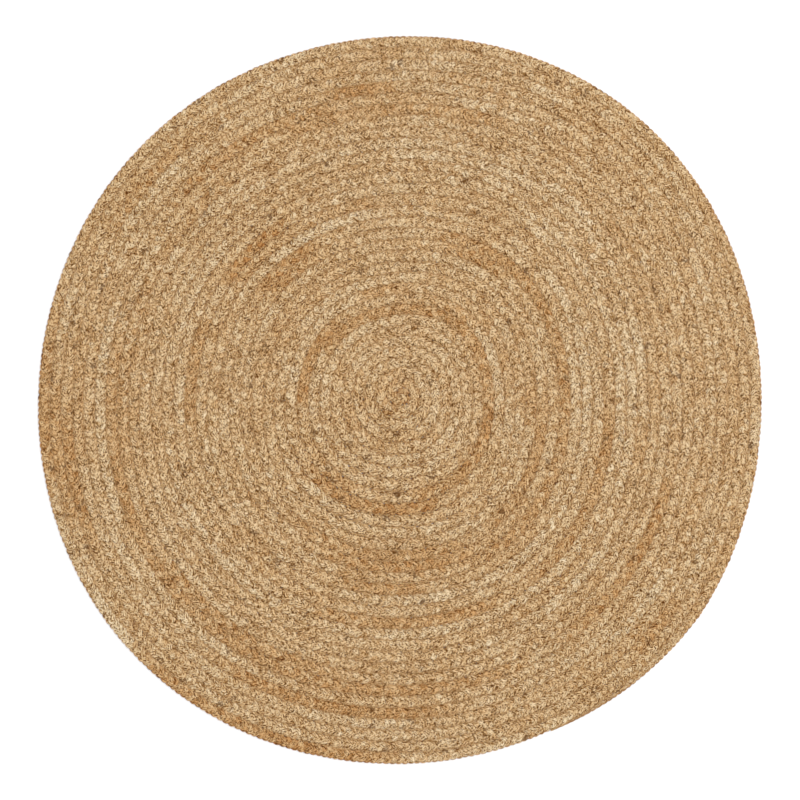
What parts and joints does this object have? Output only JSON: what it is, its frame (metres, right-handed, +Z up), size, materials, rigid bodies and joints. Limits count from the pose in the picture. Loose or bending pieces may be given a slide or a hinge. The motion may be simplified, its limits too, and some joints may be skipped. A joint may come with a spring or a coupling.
{
  "type": "area rug",
  "caption": "Round area rug made of a long flat jute plait coiled from the middle outward and sewn row to row, lying flat on the floor.",
  "frame": {"origin": "middle of the rug's outline, on its underside", "axes": "+Z up through the rug's thickness, +X to the right and +Y away as it is seen from above"},
  "size_m": [1.485, 1.4942, 0.009],
  "materials": {
    "jute_braid": "coarse matte plait of undyed fibre",
    "sewing_thread": "matte twisted thread"
  },
  "bodies": {
    "root": {"braid_center_turn": "jute_braid", "braid_turn_02": "jute_braid", "braid_turn_03": "jute_braid", "braid_turn_04": "jute_braid", "braid_turn_05": "jute_braid", "braid_turn_06": "jute_braid", "braid_turn_07": "jute_braid", "braid_turn_08": "jute_braid", "braid_turn_09": "jute_braid", "braid_turn_10": "jute_braid", "braid_turn_11": "jute_braid", "braid_turn_12": "jute_braid", "braid_turn_13": "jute_braid", "braid_turn_14": "jute_braid", "braid_turn_15": "jute_braid", "braid_turn_16": "jute_braid", "braid_turn_17": "jute_braid", "braid_turn_18": "jute_braid", "braid_turn_19": "jute_braid", "braid_turn_20": "jute_braid", "braid_turn_21": "jute_braid", "braid_turn_22": "jute_braid", "braid_turn_23": "jute_braid", "braid_turn_24": "jute_braid", "braid_turn_25": "jute_braid", "braid_turn_26": "jute_braid", "braid_turn_27": "jute_braid", "braid_turn_28": "jute_braid", "braid_turn_29": "jute_braid", "braid_turn_30": "jute_braid", "braid_turn_31": "jute_braid", "braid_turn_32": "jute_braid", "braid_tail": "jute_braid", "sewing_thread_01": "sewing_thread", "sewing_thread_02": "sewing_thread", "sewing_thread_03": "sewing_thread", "sewing_thread_04": "sewing_thread", "sewing_thread_05": "sewing_thread", "sewing_thread_06": "sewing_thread", "sewing_thread_07": "sewing_thread", "sewing_thread_08": "sewing_thread"}
  },
  "joints": []
}
